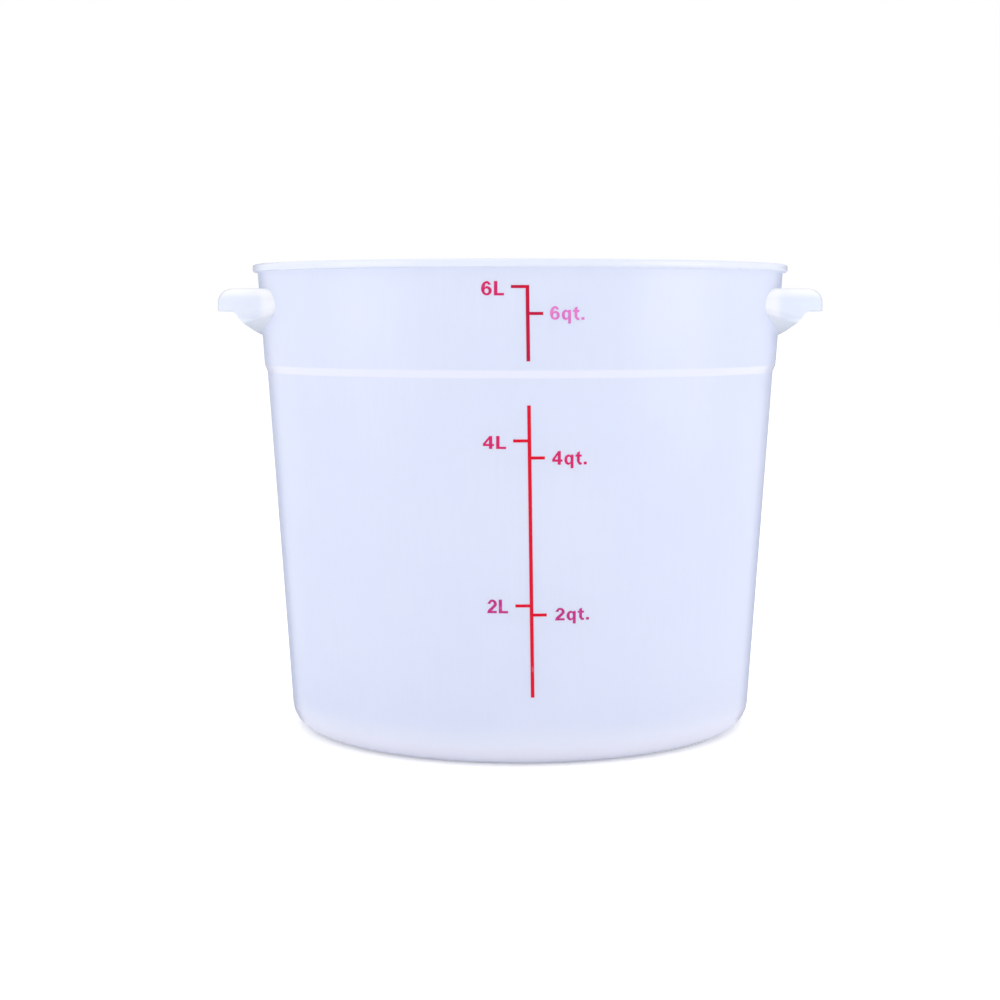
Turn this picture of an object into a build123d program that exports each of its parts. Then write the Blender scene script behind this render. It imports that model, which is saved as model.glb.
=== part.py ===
from build123d import *

import os
from math import radians, tan

# Round food tub for proofing dough, moulded in one shot of milky polypropylene, in millimetres.
# The origin is at the middle of the foot. The printed scale faces -Y and the ears stand on the X axis.
# Driving dimensions

# Tub body
tub_height = 194.5
foot_radius = 97.1  # the outside of the lower wall, carried down to the table
draft_angle = 3.76
wall_thickness = 2.2
floor_thickness = 2.6
bottom_corner_radius = 10.2

# Foot ring under the floor, and the gate dimple in the middle of it
foot_ring_depth = 0.9
foot_ring_width = 7.0
foot_ring_edge_radius = 0.3
gate_dimple_radius = 5.0
gate_dimple_depth = 0.7

# Stacking shoulder: the collar above it stands a step further out than the wall below
shoulder_height = 151.6
shoulder_rise = 3.0
shoulder_step = 1.0
shoulder_radius = 0.9

# Rim bead that a lid snaps over
rim_height = 3.1
rim_overhang = 2.0
rim_edge_radius = 0.85
rim_root_radius = 0.5
mouth_edge_radius = 1.1

# Ears: a shelf with a lip turned down round its edge, open underneath for the fingers
ear_drop = 10.0  # from the top of the rim down to the shelf
ear_reach = 17.0  # from the wall out to the lip
ear_root_width = 98.0
ear_lip_width = 62.0
ear_lip_depth = 9.2
ear_root_depth = 19.2  # down to where the slanted cut meets the wall
ear_bowl_depth = 19.4  # down to the lowest point of the rounded underside
ear_ledge_width = 10.3  # level edge under the lip, in front of the slanted cut
ear_ledge_radius = 4.0
ear_corner_radius = 11.0
ear_edge_radius = 5.6
ear_bowl_edge_radius = 3.0  # between the cheeks and the underside
ear_shelf_thickness = 2.9
ear_wall_thickness = 2.3
ear_cut_edge_radius = 0.5

# Printed scale: two films of ink on the wall, a little off the middle and leaning
ink_thickness = 0.12
scale_line_width = 1.35
scale_tick_height = 1.15
litre_tick_length = 6.1
quart_tick_length = 5.75
scale_offset = 3.1  # from the middle of the tub to the line, at the shoulder
scale_lean_angle = 0.78
scale_foot_height = 27.8
scale_gap_below_shoulder = 10.1
scale_gap_above_shoulder = 3.4
litre_mark_shares = (0.4195, 0.8355)  # heights of 2 and 4 litres, in shares of the shoulder's height
quart_mark_shares = (0.396, 0.793)  # heights of 2 and 4 quarts, in the same shares
litre_collar_share = 0.811  # height of 6 litres, as a share of the collar
quart_collar_share = 0.552  # height of 6 quarts, as a share of the collar

overrun = 5.0  # how far cutting shapes run past what they cut

# Heights and radii that follow from these
draft = tan(radians(draft_angle))
rim_underside = tub_height - rim_height
shoulder_top = shoulder_height + shoulder_rise / 2
shoulder_foot = shoulder_height - shoulder_rise / 2
collar_height = rim_underside - shoulder_top


def wall_radius(height):
    """Outside radius of the lower wall at a height."""
    return foot_radius + draft * height


def collar_radius(height):
    """Outside radius of the collar, which keeps the draft of the wall a step further out."""
    return wall_radius(height) + shoulder_step


# Tub: floor, drafted wall, shoulder, collar and rim, turned as one profile
rim_radius = collar_radius(rim_underside) + rim_overhang
foot_contact_radius = foot_radius - bottom_corner_radius * tan(radians(45 - draft_angle / 2))
foot_ring_inner_radius = foot_contact_radius - foot_ring_width
floor_top = foot_ring_depth + floor_thickness
gate_dimple_top = foot_ring_depth + gate_dimple_depth

tub_outline = (
    (0, gate_dimple_top),
    (gate_dimple_radius, gate_dimple_top),
    (gate_dimple_radius + gate_dimple_depth, foot_ring_depth),
    (foot_ring_inner_radius - foot_ring_depth, foot_ring_depth),
    (foot_ring_inner_radius, 0),
    (foot_radius, 0),
    (wall_radius(shoulder_foot), shoulder_foot),
    (collar_radius(shoulder_top), shoulder_top),
    (collar_radius(rim_underside), rim_underside),
    (rim_radius, rim_underside),
    (rim_radius, tub_height),
    (collar_radius(tub_height) - wall_thickness, tub_height),
    (collar_radius(shoulder_top) - wall_thickness, shoulder_top),
    (wall_radius(shoulder_foot) - wall_thickness, shoulder_foot),
    (wall_radius(floor_top) - wall_thickness, floor_top),
    (0, floor_top),
)
tub_outline_radii = (
    foot_ring_edge_radius,
    foot_ring_edge_radius,
    foot_ring_edge_radius,
    foot_ring_edge_radius,
    bottom_corner_radius,
    shoulder_radius,
    shoulder_radius,
    rim_root_radius,
    rim_edge_radius,
    rim_edge_radius,
    mouth_edge_radius,
    shoulder_radius,
    shoulder_radius,
    bottom_corner_radius - wall_thickness,
)

with BuildPart() as tub:
    with BuildSketch(Plane.XZ):
        with BuildLine():
            tub_edge = FilletPolyline(*tub_outline, radius=tub_outline_radii)
            Line(tub_edge @ 1, tub_edge @ 0)
        make_face()
    revolve(axis=Axis.Z)

# Ears: a rounded form seen from above and from the end, less the same form a wall's thickness smaller
ear_top = tub_height - ear_drop
ear_lip_foot = ear_top - ear_lip_depth
ear_root_foot = ear_top - ear_root_depth
ear_bowl_foot = ear_top - ear_bowl_depth
ear_lip_radius = collar_radius(ear_top) + ear_reach
ear_root_radius = collar_radius(ear_lip_foot)
ear_root_x = (ear_root_radius**2 - (ear_root_width / 2) ** 2) ** 0.5
ear_lip_x = (ear_lip_radius**2 - (ear_lip_width / 2) ** 2) ** 0.5
ear_side_slope = (ear_root_width - ear_lip_width) / 2 / (ear_lip_x - ear_root_x)
ear_inner_x = ear_root_x - ear_wall_thickness
ear_outer_x = ear_lip_radius + overrun

# The slanted cut runs from the back of the ledge down to the wall, and on inside it
ear_ledge_x = ear_lip_radius - ear_ledge_width
ear_cut_slope = (ear_lip_foot - ear_root_foot) / (ear_ledge_x - collar_radius(ear_root_foot))
ear_cut_foot = ear_lip_foot - ear_cut_slope * (ear_ledge_x - ear_inner_x)

# The underside is a wide arc that meets the wall at the foot of the lip on both sides
ear_bowl_rise = ear_lip_foot - ear_bowl_foot
ear_bowl_radius = ((ear_root_width / 2) ** 2 + ear_bowl_rise**2) / (2 * ear_bowl_rise)


def ear_half_width(x):
    """Half the ear's width, seen from above, at a distance from the tub's axis."""
    return ear_root_width / 2 - ear_side_slope * (x - ear_root_x)


def ear_form(inset, top):
    """The ear's rounded form up to a height, drawn in all round by an inset."""
    with BuildPart() as form:
        with BuildSketch(Plane.XY.offset(ear_bowl_foot)) as seen_from_above:
            with BuildLine():
                Polyline(
                    (ear_inner_x, ear_half_width(ear_inner_x)),
                    (ear_outer_x, ear_half_width(ear_outer_x)),
                    (ear_outer_x, -ear_half_width(ear_outer_x)),
                    (ear_inner_x, -ear_half_width(ear_inner_x)),
                    close=True,
                )
            make_face()
            Circle(ear_lip_radius, mode=Mode.INTERSECT)
            fillet(seen_from_above.vertices().group_by(Axis.X)[-1], ear_corner_radius)
            if inset:
                offset(amount=-inset)
        extrude(amount=top - ear_bowl_foot)
        with BuildSketch(Plane.YZ):
            with Locations((0, ear_bowl_foot + ear_bowl_radius)):
                Circle(ear_bowl_radius - inset)
        extrude(amount=ear_outer_x, mode=Mode.INTERSECT)
        # The first edge is the inner end's, which lies in the tub's wall and stays sharp
        top_edges = form.faces().sort_by(Axis.Z)[-1].edges().sort_by(Axis.X)[1:]
        fillet(top_edges, ear_edge_radius - inset)
        bowl_edges = form.faces().sort_by(Axis.Z)[0].edges().sort_by(Axis.X)[1:]
        fillet(bowl_edges, ear_bowl_edge_radius - inset)
    return form.part


ear_outside = ear_form(0, ear_top)
ear_hollow = ear_form(ear_wall_thickness, ear_top - ear_shelf_thickness)

with BuildPart() as ear:
    add(ear_outside)
    add(ear_hollow, mode=Mode.SUBTRACT)
    with BuildSketch(Plane.XZ):
        with BuildLine():
            FilletPolyline(
                (ear_outer_x, ear_lip_foot),
                (ear_ledge_x, ear_lip_foot),
                (ear_inner_x, ear_cut_foot),
                (ear_outer_x, ear_cut_foot),
                radius=(0, ear_ledge_radius, 0, 0),
                close=True,
            )
        make_face()
    extrude(amount=ear_root_width, both=True, mode=Mode.SUBTRACT)
    facing_down = ear.faces().filter_by(GeomType.PLANE).filter_by(lambda face: face.normal_at().Z < -0.5)
    cut_faces = facing_down.sort_by(Axis.Z)[:2]
    cut_edges = cut_faces.edges().filter_by(Axis.Y, reverse=True)
    fillet(cut_edges.filter_by(lambda edge: (edge @ 0.5).X > ear_root_x), ear_cut_edge_radius)
    with BuildSketch(Plane.XZ):
        with BuildLine():
            Polyline(
                (0, ear_bowl_foot - overrun),
                (collar_radius(ear_bowl_foot - overrun), ear_bowl_foot - overrun),
                (collar_radius(tub_height), tub_height),
                (0, tub_height),
                close=True,
            )
        make_face()
    revolve(axis=Axis.Z, mode=Mode.SUBTRACT)

with BuildPart() as ear_right:
    add(ear.part)

with BuildPart() as ear_left:
    add(ear.part, rotation=(0, 0, 180))

# Printed scale: a leaning line with level ticks, litres to the left of it and quarts to the right
litre_marks = [share * shoulder_height for share in litre_mark_shares]
quart_marks = [share * shoulder_height for share in quart_mark_shares]
litre_collar_mark = shoulder_top + litre_collar_share * collar_height
quart_collar_mark = shoulder_top + quart_collar_share * collar_height


def scale_x(height):
    """Middle of the scale's line at a height."""
    return scale_offset - tan(radians(scale_lean_angle)) * (height - shoulder_height)


def ink_film(foot, top, litres, quarts, radius_at):
    """A film on the wall: the line from foot to top, and the ticks at the heights of the marks."""
    half_line = scale_line_width / 2
    with BuildPart() as film:
        with BuildSketch(Plane.XZ):
            with BuildLine():
                Polyline(
                    (scale_x(foot) - half_line, foot),
                    (scale_x(foot) + half_line, foot),
                    (scale_x(top) + half_line, top),
                    (scale_x(top) - half_line, top),
                    close=True,
                )
            make_face()
            for marks, length, align in (
                (litres, litre_tick_length, Align.MAX),
                (quarts, quart_tick_length, Align.MIN),
            ):
                for height in marks:
                    with Locations((scale_x(height), height)):
                        Rectangle(length, scale_tick_height, align=(align, Align.CENTER))
        extrude(amount=rim_radius)
        with BuildSketch(Plane.XZ):
            with BuildLine():
                Polyline(
                    (radius_at(foot), foot),
                    (radius_at(foot) + ink_thickness, foot),
                    (radius_at(top) + ink_thickness, top),
                    (radius_at(top), top),
                    close=True,
                )
            make_face()
        revolve(axis=Axis.Z, mode=Mode.INTERSECT)
    return film


scale_lower = ink_film(
    scale_foot_height,
    shoulder_foot - scale_gap_below_shoulder,
    litre_marks,
    quart_marks,
    wall_radius,
)
scale_upper = ink_film(
    shoulder_top + scale_gap_above_shoulder,
    litre_collar_mark + scale_tick_height / 2,
    [litre_collar_mark],
    [quart_collar_mark],
    collar_radius,
)

tub.part.label = "tub"
ear_left.part.label = "ear_left"
ear_right.part.label = "ear_right"
scale_lower.part.label = "scale_lower"
scale_upper.part.label = "scale_upper"

os.makedirs("parts", exist_ok=True)
for piece in (tub, ear_left, ear_right, scale_lower, scale_upper):
    export_step(piece.part, f"parts/{piece.part.label}.step")
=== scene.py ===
from math import radians

import bmesh
import bpy
from mathutils import Matrix, Vector


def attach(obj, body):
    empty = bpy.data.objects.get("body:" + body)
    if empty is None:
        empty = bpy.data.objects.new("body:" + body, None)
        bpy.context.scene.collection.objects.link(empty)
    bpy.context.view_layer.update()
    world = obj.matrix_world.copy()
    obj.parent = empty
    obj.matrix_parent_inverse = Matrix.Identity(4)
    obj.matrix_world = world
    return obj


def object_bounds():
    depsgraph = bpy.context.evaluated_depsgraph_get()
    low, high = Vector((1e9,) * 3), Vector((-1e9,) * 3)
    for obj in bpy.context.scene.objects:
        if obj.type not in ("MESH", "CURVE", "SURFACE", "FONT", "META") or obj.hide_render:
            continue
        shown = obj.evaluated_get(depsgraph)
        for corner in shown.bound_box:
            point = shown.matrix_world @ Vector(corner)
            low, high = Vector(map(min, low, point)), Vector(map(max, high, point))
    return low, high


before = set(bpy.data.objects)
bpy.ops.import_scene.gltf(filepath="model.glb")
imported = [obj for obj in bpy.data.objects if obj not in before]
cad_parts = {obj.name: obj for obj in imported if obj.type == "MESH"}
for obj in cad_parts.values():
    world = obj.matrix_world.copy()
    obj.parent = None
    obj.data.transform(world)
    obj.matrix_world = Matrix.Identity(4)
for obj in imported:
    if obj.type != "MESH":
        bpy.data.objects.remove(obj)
cad_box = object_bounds()

# The tub is one injection moulding of milky polypropylene, 2.2 mm thick, which lets light through.
# Its mould was polished upwards, which leaves faint upright lines, and its skin has a satin gloss with a
# few fine scuffs from stacking.

millimetre = 0.001


class Signal:
    """An output socket in a material. Sums with it add their Math nodes, and node() adds any other node."""

    def __init__(self, tree, socket=None):
        self.tree = tree
        self.socket = socket

    def node(self, kind, settings, values, output=0):
        """Adds a node, gives it its settings, then the values or links of its sockets."""
        made = self.tree.nodes.new(kind)
        for name, setting in settings.items():
            setattr(made, name, setting)
        for name, value in values.items():
            if isinstance(value, Signal):
                self.tree.links.new(value.socket, made.inputs[name])
            else:
                made.inputs[name].default_value = value
        return Signal(self.tree, made.outputs[output] if made.outputs else None)

    def math(self, operation, first, second):
        return self.node("ShaderNodeMath", {"operation": operation}, {0: first, 1: second})

    def __add__(self, other):
        return self.math("ADD", self, other)

    def __radd__(self, other):
        return self.math("ADD", other, self)

    def __mul__(self, other):
        return self.math("MULTIPLY", self, other)

    def __rmul__(self, other):
        return self.math("MULTIPLY", other, self)

    def __rsub__(self, other):
        return self.math("SUBTRACT", other, self)

    def ramp(self, low, high):
        """0 below low and 1 above high, with a smooth rise between."""
        ends = {"Value": self, "From Min": low, "From Max": high}
        return self.node("ShaderNodeMapRange", {"interpolation_type": "SMOOTHSTEP"}, ends)

    def blend(self, at_zero, at_one):
        """A colour between two, which may be colours or Signals."""
        factor, first_colour, second_colour, mixed_colour = 0, 6, 7, 2
        ends = {factor: self, first_colour: at_zero, second_colour: at_one}
        return self.node("ShaderNodeMix", {"data_type": "RGBA"}, ends, mixed_colour)


def new_material(name):
    """An empty material, and the Signal that its nodes start from."""
    material = bpy.data.materials.new(name)
    material.use_nodes = True
    material.node_tree.nodes.clear()
    return material, Signal(material.node_tree)


def noise(start, place, size, detail, stretch=(1, 1, 1)):
    """Noise from 0 to 1 whose features are about size metres across, stretched along the axes."""
    spread = tuple(1 / (size * share) for share in stretch)
    scaled = start.node("ShaderNodeMapping", {"vector_type": "POINT"}, {"Vector": place, "Scale": spread})
    return start.node("ShaderNodeTexNoise", {}, {"Vector": scaled, "Scale": 1.0, "Detail": detail})


def milky_plastic(name, thin_tint, thick_tint, through_tint, through_share, gloss, thick_and_lit_bands, root=None):
    """Cloudy satin polypropylene: light goes partly back from its skin and partly through its wall.

    Its tint wanders between the thin and the thick one. Each band is a foot, a top, a softness and a whiter
    tint there; some bands are thick plastic, and others are painted light. The root is a radius, a softness
    and the tint inside that radius from the tub's axis. Less light comes through inside each band and the
    root.
    """
    cloud_size, cloud_detail, cloud_share = 60 * millimetre, 3.0, 0.7
    draw_line_size, draw_line_stretch, draw_line_share = 1.6 * millimetre, (1, 1, 40), 0.3
    thin_level, thick_level = 0.35, 0.65
    scuff_size, scuff_stretch = 3.0 * millimetre, (9, 9, 1)
    satin_roughness, scuff_roughness = 0.24, 0.03
    grain_size, grain_share, ridge_share = 0.5 * millimetre, 0.4, 0.6
    skin_depth = 0.012 * millimetre
    fine_detail = 2.0
    plastic_ior = 1.49
    whitening_through_loss = 0.35

    material, start = new_material(name)
    place = start.node("ShaderNodeTexCoord", {}, {}, "Object")
    cloud = noise(start, place, cloud_size, cloud_detail)
    draw_lines = noise(start, place, draw_line_size, fine_detail, draw_line_stretch)
    scuffs = noise(start, place, scuff_size, fine_detail, scuff_stretch)
    grain = noise(start, place, grain_size, fine_detail)

    drift = cloud * cloud_share + draw_lines * draw_line_share
    tint = drift.ramp(thin_level, thick_level).blend(thin_tint, thick_tint)
    through = through_share
    height = start.node("ShaderNodeSeparateXYZ", {}, {"Vector": place}, "Z")
    if root:
        radius, softness, root_tint = root
        level = start.node("ShaderNodeVectorMath", {"operation": "MULTIPLY"}, {0: place, 1: (1, 1, 0)})
        reach = start.node("ShaderNodeVectorMath", {"operation": "LENGTH"}, {0: level}, "Value")
        whitening = 1 - reach.ramp(radius - softness, radius + softness)
        tint = whitening.blend(tint, root_tint)
        through = (1 - whitening * whitening_through_loss) * through
    # Each band whitens the tint inside it; for some bands that whitening is painted light.
    for foot, top, softness, band_tint in thick_and_lit_bands:
        rising = height.ramp(foot - softness, foot + softness)
        falling = height.ramp(top - softness, top + softness)
        whitening = rising * (1 - falling)
        tint = whitening.blend(tint, band_tint)
        through = (1 - whitening * whitening_through_loss) * through

    relief = grain * grain_share + draw_lines * ridge_share
    skin = start.node("ShaderNodeBump", {}, {"Height": relief, "Distance": skin_depth, "Strength": 1.0})
    surface = start.node(
        "ShaderNodeBsdfPrincipled",
        {},
        {
            "Base Color": tint,
            "Roughness": satin_roughness + scuffs * scuff_roughness,
            "IOR": plastic_ior,
            "Specular IOR Level": gloss,
            "Normal": skin,
        },
    )
    glow = start.node("ShaderNodeBsdfTranslucent", {}, {"Color": through_tint})
    mixed = start.node("ShaderNodeMixShader", {}, {"Fac": through, 1: surface, 2: glow})
    start.node("ShaderNodeOutputMaterial", {}, {"Surface": mixed})
    return material


def dress(node_name, material):
    """Gives a CAD node its finish."""
    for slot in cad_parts[node_name].material_slots:
        slot.material = material


below_tub, above_tub = -20 * millimetre, 220 * millimetre
# Painted glow, partly thick plastic: the shoulder band is whiter where light coming in through the mouth
# shines out through the ledge.
thick_shoulder_glow_band = (150.1 * millimetre, 153.1 * millimetre, 0.5 * millimetre, (0.890, 0.898, 0.982, 1))
rim_band = (191.4 * millimetre, above_tub, 0.4 * millimetre, (0.862, 0.892, 0.974, 1))
# Painted light: the foot band whitens the bottom of the wall to lift the shade where the floor shadows the
# foot.
foot_painted_light_band = (below_tub, 11 * millimetre, 7.5 * millimetre, (0.918, 0.918, 0.998, 1))
tub_plastic = milky_plastic(
    "tub_polypropylene",
    thin_tint=(0.825, 0.868, 0.972, 1),
    thick_tint=(0.865, 0.890, 0.976, 1),
    through_tint=(0.845, 0.879, 0.974, 1),
    through_share=0.45,
    gloss=0.5,
    thick_and_lit_bands=(thick_shoulder_glow_band, rim_band, foot_painted_light_band),
)
dress("tub", tub_plastic)

# The two ears are moulded in one with the tub, as hooded grips on opposite sides under the rim.
# Their roots at the wall are thick, so they look whiter than the thin cheeks. Their shelves are whiter partly
# for their thick plastic and partly as a painted highlight of the light from above on the rounded top edge,
# and the turned-in feet of their cheeks are painted whiter to lift the shade under the ears. The skin of both
# ears is duller than the wall's.

# Painted highlight, partly thick plastic: the shelf band whitens the ears' tops where light from above falls
# on their rounded edge.
shelf_highlight_band = (182.0 * millimetre, above_tub, 2.2 * millimetre, (0.998, 0.998, 1.0, 1))
# Painted light: the cheek foot band whitens the downward-facing feet of the cheeks to lift the shade under
# the ears.
cheek_foot_painted_light_band = (below_tub, 172.0 * millimetre, 0.9 * millimetre, (0.905, 0.945, 1.0, 1))
ear_root = (113.6 * millimetre, 1.3 * millimetre, (0.932, 0.950, 1.0, 1))
ear_plastic = milky_plastic(
    "ear_polypropylene",
    thin_tint=(0.834, 0.886, 0.998, 1),
    thick_tint=(0.856, 0.900, 0.998, 1),
    through_tint=(0.860, 0.905, 0.994, 1),
    through_share=0.28,
    gloss=0.08,
    thick_and_lit_bands=(shelf_highlight_band, cheek_foot_painted_light_band),
    root=ear_root,
)
for ear_node in ("ear_left", "ear_right"):
    dress(ear_node, ear_plastic)

# The scale is screen-printed in red ink on the outside of the wall, as two lines with ticks.
# The ink is matt and a little uneven where the screen laid it on, and it wears thin in specks. The upper line
# has more ink on it and is darker.


def screen_ink(name, full_tint, thin_tint, worn_share):
    """Red ink laid on by a screen. It is paler where it is thin, and worn_share pushes it that way."""
    speck_size, speck_share = 0.9 * millimetre, 0.5
    wash_size, wash_share = 6 * millimetre, 0.5
    ink_detail = 3.0
    worn_from, worn_to = 0.62, 0.80
    from_drop, to_drop = 0.6, 0.5
    weave_depth = 0.01 * millimetre
    ink_roughness, wash_roughness = 0.5, 0.1
    ink_gloss = 0.12

    material, start = new_material(name)
    place = start.node("ShaderNodeTexCoord", {}, {}, "Object")
    specks = noise(start, place, speck_size, ink_detail)
    wash = noise(start, place, wash_size, ink_detail)
    worn = start.node(
        "ShaderNodeMapRange",
        {},
        {
            "Value": specks * speck_share + wash * wash_share,
            "From Min": worn_from - worn_share * from_drop,
            "From Max": worn_to - worn_share * to_drop,
        },
    )
    tint = worn.blend(full_tint, thin_tint)
    skin = start.node("ShaderNodeBump", {}, {"Height": specks, "Distance": weave_depth, "Strength": 1.0})
    ink = start.node(
        "ShaderNodeBsdfPrincipled",
        {},
        {
            "Base Color": tint,
            "Roughness": ink_roughness + wash * wash_roughness,
            "Specular IOR Level": ink_gloss,
            "Normal": skin,
        },
    )
    start.node("ShaderNodeOutputMaterial", {}, {"Surface": ink})
    return material


red_tint, worn_red_tint = (0.68, 0.004, 0.026, 1), (0.86, 0.26, 0.42, 1)
heavy_tint = (0.48, 0.006, 0.050, 1)
scale_ink = screen_ink("scale_ink", red_tint, worn_red_tint, worn_share=0.0)
heavy_ink = screen_ink("heavy_ink", heavy_tint, red_tint, worn_share=0.2)
dress("scale_lower", scale_ink)
dress("scale_upper", heavy_ink)

# The numerals stand beside the ticks, litres on the left and quarts on the right.
# They are screen-printed films of bold plain letters that follow the round of the wall. Their ink is laid
# on thinner than the scale's and so looks pinker.

letter_tint, worn_letter_tint = (0.62, 0.018, 0.137, 1), (0.74, 0.12, 0.38, 1)
plum_tint, worn_plum_tint = (0.49, 0.030, 0.215, 1), (0.64, 0.14, 0.46, 1)
pale_tint, worn_pale_tint = (0.62, 0.150, 0.520, 1), (0.76, 0.21, 0.56, 1)
letter_ink = screen_ink("letter_ink", letter_tint, worn_letter_tint, worn_share=0.1)
plum_ink = screen_ink("plum_ink", plum_tint, worn_plum_tint, worn_share=0.2)
pale_ink = screen_ink("pale_ink", pale_tint, worn_pale_tint, worn_share=0.4)

# The gap between letters, and the loops of each, in shares of a capital's height. A third value marks a
# point of a round stretch.
letter_gap = 0.13
letter_loops = {
    "2": [
        [
            (0, 0), (0.64, 0), (0.64, 0.17), (0.28, 0.17), (0.44, 0.33, 1), (0.64, 0.71, 1), (0.32, 1, 1),
            (0.01, 0.70), (0.21, 0.67), (0.33, 0.84, 1), (0.44, 0.70, 1), (0.31, 0.48, 1), (0.08, 0.24, 1),
        ],
    ],
    "4": [
        [
            (0.37, 0), (0.57, 0), (0.57, 0.22), (0.68, 0.22), (0.68, 0.385), (0.57, 0.385), (0.57, 1),
            (0.40, 1), (0, 0.40), (0, 0.22), (0.37, 0.22),
        ],
        [(0.17, 0.385), (0.37, 0.385), (0.37, 0.71)],
    ],
    "6": [
        [
            (0.62, 0.76), (0.43, 0.73), (0.34, 0.84, 1), (0.21, 0.57), (0.38, 0.65, 1), (0.65, 0.33, 1),
            (0.33, 0, 1), (0, 0.47, 1), (0.34, 1, 1),
        ],
        [(0.455, 0.32, 1), (0.33, 0.15, 1), (0.205, 0.32, 1), (0.33, 0.49, 1)],
    ],
    "L": [[(0, 0), (0.61, 0), (0.61, 0.17), (0.21, 0.17), (0.21, 1), (0, 1)]],
    "q": [
        [
            (0.61, -0.27), (0.61, 0.72), (0.43, 0.72), (0.43, 0.65), (0.26, 0.74, 1), (0, 0.36, 1),
            (0.25, -0.02, 1), (0.42, 0.08), (0.42, -0.27),
        ],
        [(0.42, 0.36, 1), (0.31, 0.14, 1), (0.20, 0.36, 1), (0.31, 0.58, 1)],
    ],
    "t": [
        [
            (0.10, 0.57), (0, 0.57), (0, 0.72), (0.10, 0.72), (0.10, 0.86), (0.29, 0.97), (0.29, 0.72),
            (0.42, 0.72), (0.42, 0.57), (0.29, 0.57), (0.29, 0.24), (0.34, 0.15, 1), (0.42, 0.15),
            (0.43, 0.01), (0.29, -0.02, 1), (0.10, 0.22),
        ],
    ],
    ".": [[(0, 0), (0.20, 0), (0.20, 0.20), (0, 0.20)]],
}


def printed_words(name, words, left, right, foot, cap_height, ink):
    """A film of ink in the shape of the words, laid on the front of the wall between left and right."""
    ink_thickness = 0.12 * millimetre
    drawn_depth, curve_steps, merge_distance = 0.5, 6, 1e-5
    in_front = -1.0

    outline = bpy.data.curves.new(name, "CURVE")
    outline.dimensions = "2D"
    outline.fill_mode = "BOTH"
    outline.extrude = drawn_depth
    outline.resolution_u = curve_steps
    pen = 0
    for letter in words:
        loops = letter_loops[letter]
        for loop in loops:
            spline = outline.splines.new("BEZIER")
            spline.bezier_points.add(len(loop) - 1)
            spline.use_cyclic_u = True
            for point, (x, y, *is_round) in zip(spline.bezier_points, loop):
                point.co = (pen + x, y, 0)
                point.handle_left_type = point.handle_right_type = "AUTO" if is_round else "VECTOR"
        pen += max(x for x, *_ in loops[0]) + letter_gap
    drawn = bpy.data.objects.new(name, outline)
    bpy.context.scene.collection.objects.link(drawn)
    bpy.context.view_layer.update()
    mesh = bpy.data.meshes.new_from_object(drawn.evaluated_get(bpy.context.evaluated_depsgraph_get()))
    bpy.data.objects.remove(drawn)

    # The drawing is scaled to the width that the words fill and to the capital's height, and laid on the wall
    film = bmesh.new()
    film.from_mesh(mesh)
    bmesh.ops.remove_doubles(film, verts=film.verts, dist=merge_distance)
    bmesh.ops.recalc_face_normals(film, faces=film.faces)
    drawn_left = min(vertex.co.x for vertex in film.verts)
    drawn_right = max(vertex.co.x for vertex in film.verts)
    drawn_top = max(vertex.co.y for vertex in film.verts)
    across = (right - left) / (drawn_right - drawn_left)
    upwards = cap_height / drawn_top
    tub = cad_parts["tub"]
    for vertex in film.verts:
        x = left + (vertex.co.x - drawn_left) * across
        z = foot + vertex.co.y * upwards
        found, place, _, _ = tub.ray_cast(Vector((x, in_front, z)), Vector((0, 1, 0)))
        if not found:
            raise ValueError(f"{name} misses the wall at {x}, {z}")
        lift = ink_thickness if vertex.co.z > 0 else 0
        vertex.co = Vector((x, place.y - lift, z))
    film.to_mesh(mesh)
    film.free()
    mesh.materials.clear()
    mesh.materials.append(ink)
    printed = bpy.data.objects.new(name, mesh)
    bpy.context.scene.collection.objects.link(printed)
    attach(printed, "root")


# Each numeral's words, its left and right ends, its foot and its height on the wall, in millimetres
numerals = (
    ("numeral_6_litres", "6L", -14.5, -6.0, 180.9, 5.3, letter_ink),
    ("numeral_6_quarts", "6qt.", 11.05, 23.9, 171.9, 5.1, pale_ink),
    ("numeral_4_litres", "4L", -14.0, -5.3, 123.6, 4.9, letter_ink),
    ("numeral_4_quarts", "4qt.", 12.05, 25.1, 117.6, 5.2, letter_ink),
    ("numeral_2_litres", "2L", -12.6, -4.6, 60.7, 5.3, plum_ink),
    ("numeral_2_quarts", "2qt.", 13.25, 26.3, 57.8, 4.9, plum_ink),
)
for name, words, *sizes, ink in numerals:
    left, right, foot, cap_height = (size * millimetre for size in sizes)
    printed_words(name, words, left, right, foot, cap_height, ink)

# The floor is a plain pale sheet, wide enough to reach the horizon, and it keeps the tub's shadow.
# It lies a hair under the foot, so that the two don't share a plane. The room around it is white.

floor_width = 60.0
floor_place = Matrix.Translation((0, 0, -0.1 * millimetre))
floor_colour = (0.93, 0.93, 0.93, 1)
floor_glow = 0.25
room_level = 0.94
white = (1, 1, 1, 1)

floor_sheet = bmesh.new()
bmesh.ops.create_grid(floor_sheet, x_segments=1, y_segments=1, size=floor_width / 2, matrix=floor_place)
floor_mesh = bpy.data.meshes.new("floor")
floor_sheet.to_mesh(floor_mesh)
floor_sheet.free()
floor = bpy.data.objects.new("floor", floor_mesh)
bpy.context.scene.collection.objects.link(floor)


def background_share(start):
    """1 for the rays that show the background, in the picture or in what is glossy or clear."""
    share = 0
    for ray in ("Is Camera Ray", "Is Glossy Ray", "Is Transmission Ray"):
        share = start.node("ShaderNodeLightPath", {}, {}, ray) + share
    return start.math("MINIMUM", share, 1.0)


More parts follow.
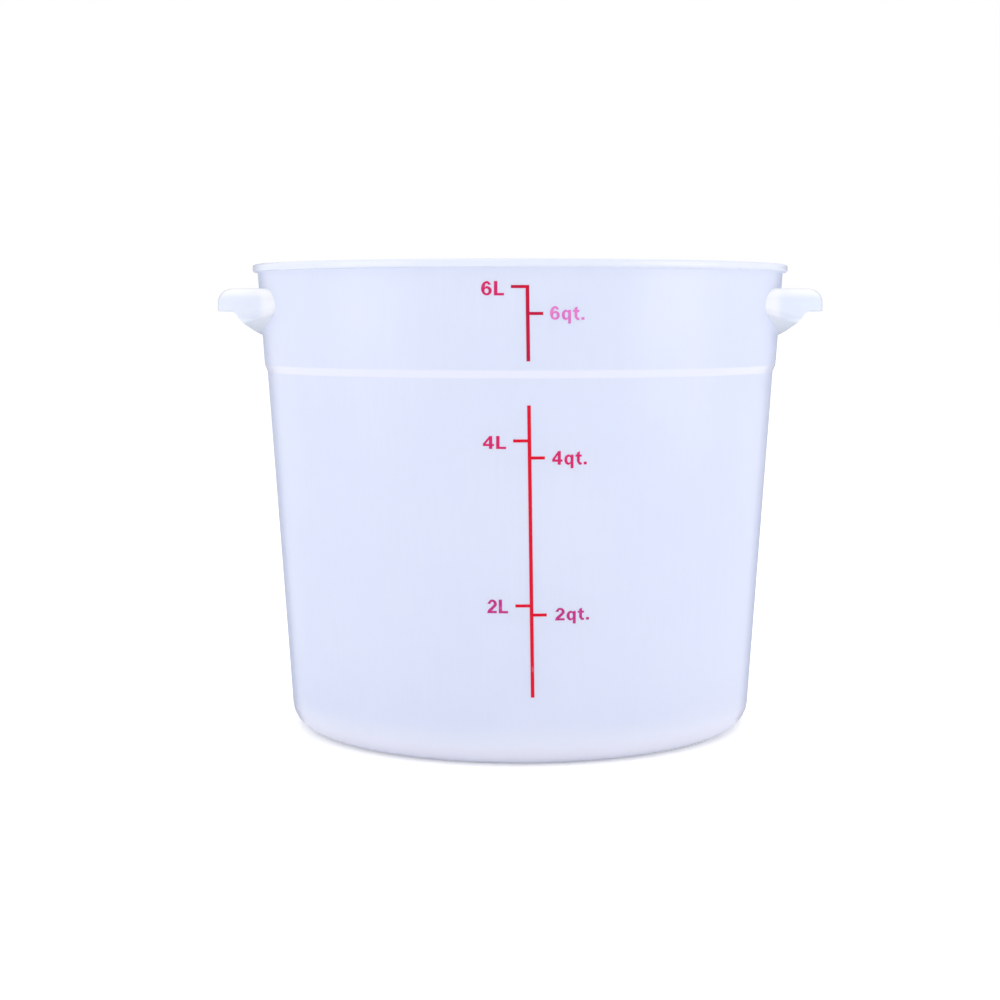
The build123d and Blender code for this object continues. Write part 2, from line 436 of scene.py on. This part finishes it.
floor_paint, start = new_material("floor_paint")
matt = start.node("ShaderNodeBsdfDiffuse", {}, {"Color": floor_colour})
strength = background_share(start) * floor_glow
glow = start.node("ShaderNodeEmission", {}, {"Color": white, "Strength": strength})
lit = start.node("ShaderNodeAddShader", {}, {0: matt, 1: glow})
start.node("ShaderNodeOutputMaterial", {}, {"Surface": lit})
floor_mesh.materials.append(floor_paint)

room = bpy.data.worlds.new("room")
bpy.context.scene.world = room
room.use_nodes = True
room.node_tree.nodes.clear()
start = Signal(room.node_tree)
strength = room_level + background_share(start) * (1 - room_level)
sky = start.node("ShaderNodeBackground", {}, {"Color": white, "Strength": strength})
start.node("ShaderNodeOutputWorld", {}, {"Surface": sky})

# Three soft boxes light the tub. A large one hangs above it, and one stands at each side, a little to the
# front. The two at the sides are faintly pink.


def soft_box(name, place, width, height, power, tint=(1, 1, 1)):
    """A rectangular lamp at a place, turned to face the middle of the tub."""
    lamp = bpy.data.lights.new(name, "AREA")
    lamp.shape = "RECTANGLE"
    lamp.size = width
    lamp.size_y = height
    lamp.energy = power
    lamp.color = tint
    box = bpy.data.objects.new(name, lamp)
    middle = (cad_box[0] + cad_box[1]) / 2
    facing = (middle - Vector(place)).to_track_quat("-Z", "Y").to_matrix().to_4x4()
    box.matrix_world = Matrix.Translation(place) @ facing
    bpy.context.scene.collection.objects.link(box)


faint_pink = (1.0, 0.96, 0.99)
soft_box("box_above", place=(0, -0.1, 1.5), width=1.4, height=1.4, power=4.7)
soft_box("box_left", place=(-1.4, -0.7, 0.2), width=1.0, height=0.4, power=3.2, tint=faint_pink)
soft_box("box_right", place=(1.45, -0.6, 0.2), width=1.0, height=0.4, power=3.9, tint=faint_pink)

# A black flag of cloth stands behind the tub on each side, with its hem laid forward on the floor.
# Only gloss shows it: the skin mirrors it at a glancing angle, which draws the thin dark line down each
# edge of the wall.

flag_depth, flag_near = 0.08, 0.09
flag_far_at_foot, flag_far_at_top = 0.160, 0.186
flag_height = 0.24
hem_front, hem_far, hem_height = -0.02, 0.10, 0.0005
flag_colour = (0.02, 0.02, 0.02, 1)

flag_cloth, start = new_material("flag_cloth")
black = start.node("ShaderNodeBsdfDiffuse", {}, {"Color": flag_colour})
start.node("ShaderNodeOutputMaterial", {}, {"Surface": black})

# A flag is a grid with three rows of corners. Each row has its far end, its depth and its height.
flag_rows = {
    -1: (hem_far, hem_front, hem_height),
    0: (flag_far_at_foot, flag_depth, hem_height),
    1: (flag_far_at_top, flag_depth, flag_height),
}
for name, side in (("flag_left", -1), ("flag_right", 1)):
    cloth = bmesh.new()
    bmesh.ops.create_grid(cloth, x_segments=1, y_segments=2, size=1)
    for vertex in cloth.verts:
        far, depth, height = flag_rows[round(vertex.co.y)]
        across = far if vertex.co.x > 0 else flag_near
        vertex.co = (side * across, depth, height)
    cloth_mesh = bpy.data.meshes.new(name)
    cloth.to_mesh(cloth_mesh)
    cloth.free()
    cloth_mesh.materials.append(flag_cloth)
    flag = bpy.data.objects.new(name, cloth_mesh)
    for ray in ("camera", "diffuse", "transmission", "shadow"):
        setattr(flag, f"visible_{ray}", False)
    bpy.context.scene.collection.objects.link(flag)

# The camera stands in front of the tub, a little lower than the rim, and looks slightly down.
# Its frame is shifted sideways, so that the tub stands right of the middle.

camera_place = (0, -0.842, 0.1734)
camera_pitch = 5.35
camera_lens, sensor_width, frame_shift = 70.83, 36.0, -0.0202

lens = bpy.data.cameras.new("camera")
lens.lens = camera_lens
lens.sensor_width = sensor_width
lens.shift_x = frame_shift
camera = bpy.data.objects.new("camera", lens)
looking = Matrix.Rotation(radians(90 - camera_pitch), 4, "X")
camera.matrix_world = Matrix.Translation(camera_place) @ looking
bpy.context.scene.collection.objects.link(camera)
bpy.context.scene.camera = camera
bpy.context.scene.view_settings.view_transform = "Standard"
